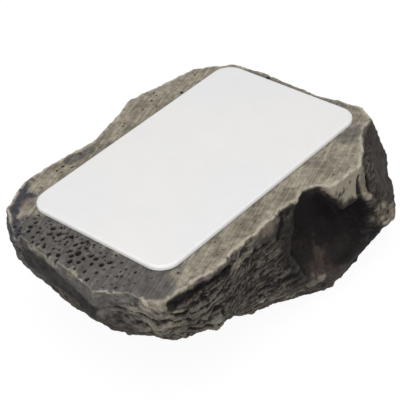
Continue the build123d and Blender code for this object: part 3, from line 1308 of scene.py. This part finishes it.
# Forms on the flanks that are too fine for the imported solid. Each row has a width, a height
# (below 0 for a hollow) and the places of its line.
CARVING = marks(
    # hollows of the -X flank and its corners
    (4.5, -1.5, (-41.3, -3, 12), (-41, -10.5, 12)),
    (3.5, -1.4, (-38, -19, 12.4), (-36.3, -22.3, 12)),
    (3.5, -1.2, (-40.9, 15.4, 5.8)),
    # a crevice on the -X side of the cave, and the ridge beside it
    (1, -0.7, (-3.4, -25.7, 1), (-3.6, -25.7, 3.6), (-5.2, -26, 6)),
    (0.9, 0.6, (1.2, -26, 0.5), (-1.6, -26.4, 2.3), (-2.3, -26.4, 4.8)),
    # the lip's edge, and ledges along the -Y flank
    (1, 0.5, (10.5, -29.6, 6.7), (14, -30, 7.2), (17, -30.4, 7.4)),
    (1.2, 0.5, (-30, -26.2, 9.6), (-22, -27.2, 8.6), (-13, -26.2, 8.2), (-6, -26.3, 8.6)),
    (1.2, 0.5, (-20, -27.2, 16.2), (-12, -26.2, 15.6), (-4, -26.8, 15.2)),
    # the spur's knobs and the notches between them
    (1.8, 1.1, (22.2, -30.4, 13.8)),
    (1.4, 0.9, (24.8, -31.4, 15.6)),
    (1.2, 0.7, (26.8, -32, 17.8)),
    (0.9, -1.3, (23.7, -31, 14.7)),
    (0.9, -1.3, (25.9, -31.8, 16.8)),
    # knobs along the lower edge
    (1.4, 0.6, (4.3, -29.1, 22.6)),
    (1.4, 0.6, (-0.8, -24.6, 26)),
    (1.5, 0.6, (-3.2, -24.4, 24.8)),
    (1.3, 0.45, (0.6, -26.2, 24)),
    (1.4, 0.5, (-11.5, -25.9, 19.4)),
    # crevices between the lip and the spur, and a low hollow
    (1.2, -0.8, (20.4, -29.5, 5), (19.2, -30.4, 9)),
    (1, -0.5, (17.2, -29.9, 2.6), (16.6, -30.3, 7.2)),
    (3.2, -0.7, (-18, -25.6, 18.6), (-10.5, -25.8, 19.6)),
)
# Where the stone is smoother than elsewhere, and how much.
CALM = marks(
    (13, 0.9, (5, -23, 8), (12, -22, 10), (10, -26, 18)),
    (7, 0.8, (9.5, -29, 3), (16.5, -30, 3.5)),
    (3.5, 0.8, (-8.5, -25.5, 2), (-6, -26, 3.5)),
    (15, 0.5, (-42, -8, 7), (-40.5, 10, 7)),
    (9, 0.6, (33.5, -24, 5), (28, -28, 11)),
    (4.5, 0.9, (9, -29.4, 2.5), (12, -29.8, 4.5), (16, -30, 3.5)),
)
# The larger stains and the painted shade, as in the photograph. Each row has a width, a strength
# and places.
STAINS_AND_SHADE = {
    Paint.UMBER: washes(
        (8, 0.35, (32, -25, 4), (25, -30, 11)),
        (2.6, 0.7, (-10.5, -25.4, 2.6)),
        (3, 0.7, (-43.6, -8, 3), (-42, 4, 3)),
        (4, 0.5, (-41.5, -2, 10)),
        (2.5, 0.6, (-36.5, -24.8, 1.8), (-30, -25.5, 3)),
        (6, 0.35, (6, -25, 17), (9, -27, 20)),
    ),
    Paint.CHARCOAL: washes(
        (10.5, 1, (-39.5, 12, 0), (-39.5, 2, 0), (-39.2, -8, 0), (-37.6, -17.6, 0)),
        (1.9, 0.85, (-16.2, 23.9, 0), (-10.3, 22.8, 0)),
        (1.2, 0.9, (-6.6, 20.9, 0)),
        (3, 0.35, (6.3, 27, 0)),
        (1.8, 0.7, (34.8, 14, 0), (34.6, -12, 0)),
        (2.4, 0.65, (24, -21.4, 0), (29, -21.8, 0)),
    ),
    Paint.SLATE: washes(
        (4.4, 1, (-29, 26.6, 0), (-33, 24.6, 0), (-38, 21.6, 0), (-41, 17, 0)),
    ),
    Paint.ROSE: washes(
        (1.8, 0.45, (-32.2, 20.6, 0)),
        (1.4, 0.5, (32.6, -19, 0)),
        (2, 0.45, (25, -31.6, 15.5), (27, -32.2, 18)),
        (1.6, 0.4, (18.2, -31.5, 8)),
        (2.4, 0.4, (-8, -25.6, 1.8)),
        (6.5, 0.4, (5, -25, 13), (5, -27, 19.5)),
    ),
    # khaki patches; on the spur's knobs and those along the lower edge, partly painted highlight on
    # tops
    Paint.KHAKI: washes(
        (4.4, 1, (9.5, -29.2, 2.5), (16.5, -30.2, 3.8)),
        (2.4, 0.45, (-9, -25.4, 1.4), (-6, -25.8, 2.6)),
        (1.6, 0.9, (-39.8, -21, 0.9), (-38, -24, 1)),
        (1.3, 0.7, (-40.6, -17.3, 3.6), (-39.3, -23.5, 3), (-34.9, -25.4, 4.4)),
        (2, 0.6, (4.3, -29.1, 22.6), (2, -28, 23.4)),
        (1.5, 0.75, (17.9, -31.8, 7.6)),
        (1.8, 0.45, (-11.5, -25.9, 19), (-6, -25.6, 22)),
        (1.2, 0.9, (19, -30.8, 15.8), (22, -31.4, 17.2), (27, -31.9, 20.2)),
        (1.6, 0.6, (-0.8, -24.6, 26)),
        (1.5, 0.6, (-2.7, -24.4, 24.8)),
        (1.3, 0.45, (0.4, -26.2, 24)),
        (1.5, 0.5, (-20, -26.4, 3.4), (-15, -25.9, 3)),
        (1.4, 0.5, (-41.4, -8, 1.4), (-41.2, -2, 1.4)),
        (1.3, 0.6, (-41.2, 7.5, 1.4), (-41.4, 3.5, 1.6)),
        (1.5, 0.8, (33.5, -19, 0)),
        (2.8, 0.7, (22.6, -31.2, 14.6), (24.6, -31.4, 16.4), (27.2, -32, 18.2)),
        (1.6, 0.7, (19.4, -30.6, 14.6), (22.4, -31.2, 15.6)),
        (5, 0.5, (-38, -22.5, 5), (-36, -24, 9)),
        (3, 0.3, (-10, -26, 20), (0, -26, 25)),
        (1, 0.85, (3.4, -25.3, 0.8), (0.6, -26, 1.8), (-1.4, -26, 2.6)),
    ),
    # painted shade in the cave, the arch, the crevices and the hollows, with a dark wash on the +X
    # end
    Paint.SHADE_AND_DARK_WASH: washes(
        (9, 0.95, (5, -24, 7), (13, -25.5, 11), (17, -26, 14)),
        (6, 0.8, (12, -28, 20), (20, -29.5, 23)),
        (7.5, 0.5, (7.5, -26, 13), (9, -28.5, 18)),
        (4, 0.6, (4.5, -24.5, 15), (4.5, -26, 18)),
        (0.9, 0.85, (17.2, -29.9, 2.6), (16.6, -30.3, 7.2)),
        (1.3, 0.5, (18.6, -29.7, 2.8), (18.2, -30.4, 5.6)),
        (6, 0.85, (2.4, -24.9, 3.4), (3, -23.5, 9), (3, -24.6, 15)),
        (2, 0.95, (-36.5, -24.2, 2), (-30, -24.4, 2.2), (-22, -25.2, 2.2)),
        (2.6, 0.8, (-43.8, -9, 6.5), (-43, -4, 6.5)),
        (3, 0.6, (-42, 6, 6)),
        (3, 0.7, (-39.8, 13, 4.6), (-41, 7, 5), (-42, 0, 5.4), (-43.2, -6, 5.4)),
        (6, 0.65, (-2, -26, 7), (0.5, -26.5, 17)),
        (8, 0.3, (33.5, -24, 5), (28, -28, 11)),
        (0.9, 0.7, (-3.4, -25.7, 1), (-3.6, -25.7, 3.6), (-5.2, -26, 6)),
        (1.3, 0.8, (20.4, -29.5, 5), (19.2, -30.4, 9)),
    ),
}
# Single pits away from the porous end: x, y and radius.
LONE_PITS = (
    (34.2, 8.2, 0.6),
    (34.2, 4.8, 0.5),
    (-18.2, 23.8, 0.35),
    (-20.1, 23.6, 0.35),
    (-17.1, 21.8, 0.4),
    (18.3, 21.2, 0.5),
    (11.8, 24.9, 0.35),
    (14.5, 26.6, 0.4),
    (0.6, 23.2, 0.35),
    (25.7, 23.5, 0.35),
)


# ---- the moulded, sprung and glued pieces --------------------------------------------------


@dataclass
class SwivelCover:
    """The white cover, with a sink mark over its boss."""

    pivot: Pair
    white: Colour = srgb(232, 232, 232)
    warm: Colour = srgb(236, 233, 231)

    @classmethod
    def from_frame(cls, frame: dict) -> "SwivelCover":
        """Take the pivot's place, in millimetres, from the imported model's joint.


        Returns:
            The cover, ready to build.
        """
        joint = next(joint for joint in frame["joints"] if joint["name"] == "cover_swing")
        return cls((joint["pos_m"][0] / MM, joint["pos_m"][1] / MM))

    def build(self) -> None:
        """Finish the cover."""
        finish = MouldedPlastic("cover_plastic", self.white, self.warm, sink_at=self.pivot)
        dress(bpy.data.objects["swivel_cover"], finish.material())
        LOG.info("swivel cover finished")


@dataclass
class KeyTray:
    """The moulded insert and the glue that holds it."""

    plastic: MouldedPlastic = MouldedPlastic(
        "tray_plastic", srgb(222, 222, 220), srgb(226, 223, 218), roughness=0.5
    )
    glue: CuredGlue = CuredGlue()

    def build(self) -> None:
        """Finish the tray and its glue."""
        dress(bpy.data.objects["key_tray"], self.plastic.material())
        glue = self.glue.material()
        for name in ("floor_glue_bead", "rim_glue_bead"):
            dress(bpy.data.objects[name], glue)
        LOG.info("key tray and glue finished")


@dataclass
class Pivot:
    """The screw and the cupped washer under the tray's post."""

    zinc: PlatedSteel = PlatedSteel("zinc_plate", srgb(196, 198, 202), 0.28)
    spring: PlatedSteel = PlatedSteel("spring_steel", srgb(168, 168, 172), 0.22)

    def build(self) -> None:
        """Finish the screw and the washer."""
        dress(bpy.data.objects["pivot_screw"], self.zinc.material())
        dress(bpy.data.objects["spring_washer"], self.spring.material())
        LOG.info("pivot finished")


# ---- the studio ----------------------------------------------------------------------------


@dataclass(frozen=True)
class Lamp:
    """A square soft lamp: its place, its size and its power."""

    name: str
    where: Place
    size: float
    watts: float


@dataclass
class Studio:
    """A pale floor, soft lamps and the camera at the photograph's angle.

    All in millimetres: the camera as on the rock's drawing, the lamps from the frame's origin.
    """

    eye: Place = (-160.6, -160.77, -164.97)
    look: Place = (-11.25, -10.35, -1.15)
    roll: float = 6.73
    lens: float = 116.92
    lamps: tuple[Lamp, ...] = (
        Lamp("overhead_softbox", (-90, -60, 430), 400, 0.92),
        Lamp("side_fill", (-330, -300, 150), 300, 0.72),
    )
    lamp_aim: Place = (0, 0, 15)
    floor_half: float = 3000

    def build(self, drawing: Drawing) -> None:
        """Set the camera, the lamps and the floor.

        Args:
            drawing: The datum that the camera's place is measured from.
        """
        self._camera(drawing)
        self._world()
        self._floor()
        for lamp in self.lamps:
            self._light(lamp)
        LOG.info("studio ready")

    def _camera(self, drawing: Drawing) -> None:
        """Place the camera, with the picture's up turned by the roll.

        Args:
            drawing: The datum that its place is measured from.
        """
        data = bpy.data.cameras.new("camera")
        data.lens = self.lens
        data.sensor_width = 36.0
        data.clip_start = 0.005
        camera = new_piece("camera", data)
        eye, look = drawing.point(*self.eye), drawing.point(*self.look)
        aim = (look - eye).to_track_quat("-Z", "Y").to_matrix().to_4x4()
        turn = Matrix.Rotation(math.radians(-self.roll), 4, "Z")
        camera.matrix_world = Matrix.Translation(eye) @ aim @ turn
        bpy.context.scene.camera = camera

    def _world(self) -> None:
        """Even light from all round, with white behind it."""
        world = bpy.data.worlds.new("studio_air")
        world.use_nodes = True
        bpy.context.scene.world = world
        nodes, links = world.node_tree.nodes, world.node_tree.links
        nodes.clear()
        path = nodes.new("ShaderNodeLightPath")
        seen = nodes.new("ShaderNodeMath")
        seen.operation = "MAXIMUM"
        links.new(path.outputs["Is Camera Ray"], seen.inputs[0])
        links.new(path.outputs["Is Glossy Ray"], seen.inputs[1])
        strength = nodes.new("ShaderNodeMapRange")
        strength.inputs["To Min"].default_value = 0.5
        strength.inputs["To Max"].default_value = 1.0
        links.new(seen.outputs[0], strength.inputs["Value"])
        background = nodes.new("ShaderNodeBackground")
        background.inputs["Color"].default_value = (1, 1, 1, 1)
        links.new(strength.outputs[0], background.inputs["Strength"])
        output = nodes.new("ShaderNodeOutputWorld")
        links.new(background.outputs[0], output.inputs["Surface"])

    def _floor(self) -> None:
        """A pale floor that shows white to the camera and keeps the rock's soft shadow."""
        mesh = bpy.data.meshes.new("floor")
        half = self.floor_half * MM
        corners = [(-half, -half, 0), (half, -half, 0), (half, half, 0), (-half, half, 0)]
        mesh.from_pydata(corners, [], [range(4)])
        floor = new_piece("floor", mesh)
        graph = Graph("studio_floor")
        path = graph.node("LightPath")
        matt = graph.node("BsdfDiffuse", {"Color": (0.5, 0.5, 0.5, 1)}).outputs[0]
        glow = graph.node("Emission", {"Color": (1, 1, 1, 1), "Strength": 0.93}).outputs[0]
        faint = graph.node("BsdfDiffuse", {"Color": (0.1, 0.1, 0.1, 1)}).outputs[0]
        shown = graph.node("AddShader", {0: glow, 1: faint}).outputs[0]
        seen = graph.math("MAXIMUM", path.outputs["Is Camera Ray"], path.outputs["Is Glossy Ray"])
        mixed = graph.node("MixShader", {0: seen, 1: matt, 2: shown}).outputs[0]
        graph.tree.links.new(mixed, graph.output.inputs["Surface"])
        dress(floor, graph.material)

    def _light(self, lamp: Lamp) -> None:
        """Hang a lamp, aimed at the rock.

        Args:
            lamp: Its name, place, size and power.
        """
        data = bpy.data.lights.new(lamp.name, "AREA")
        data.size = lamp.size * MM
        data.energy = lamp.watts
        piece = new_piece(lamp.name, data)
        place = Vector(lamp.where) * MM
        piece.location = place
        aim = Vector(self.lamp_aim) * MM - place
        piece.rotation_euler = aim.to_track_quat("-Z", "Y").to_euler()


def main() -> None:
    """Build the rock's pieces in order and set them in the studio."""
    logging.basicConfig(level=logging.INFO)
    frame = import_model()
    drawing = Drawing.from_frame()
    RockCasting(drawing, CARVING, CALM, STAINS_AND_SHADE, LONE_PITS).build()
    KeyTray().build()
    SwivelCover.from_frame(frame).build()
    Pivot().build()
    Studio().build(drawing)
    bpy.context.scene.view_settings.view_transform = "Standard"


if __name__ == "__main__":
    main()
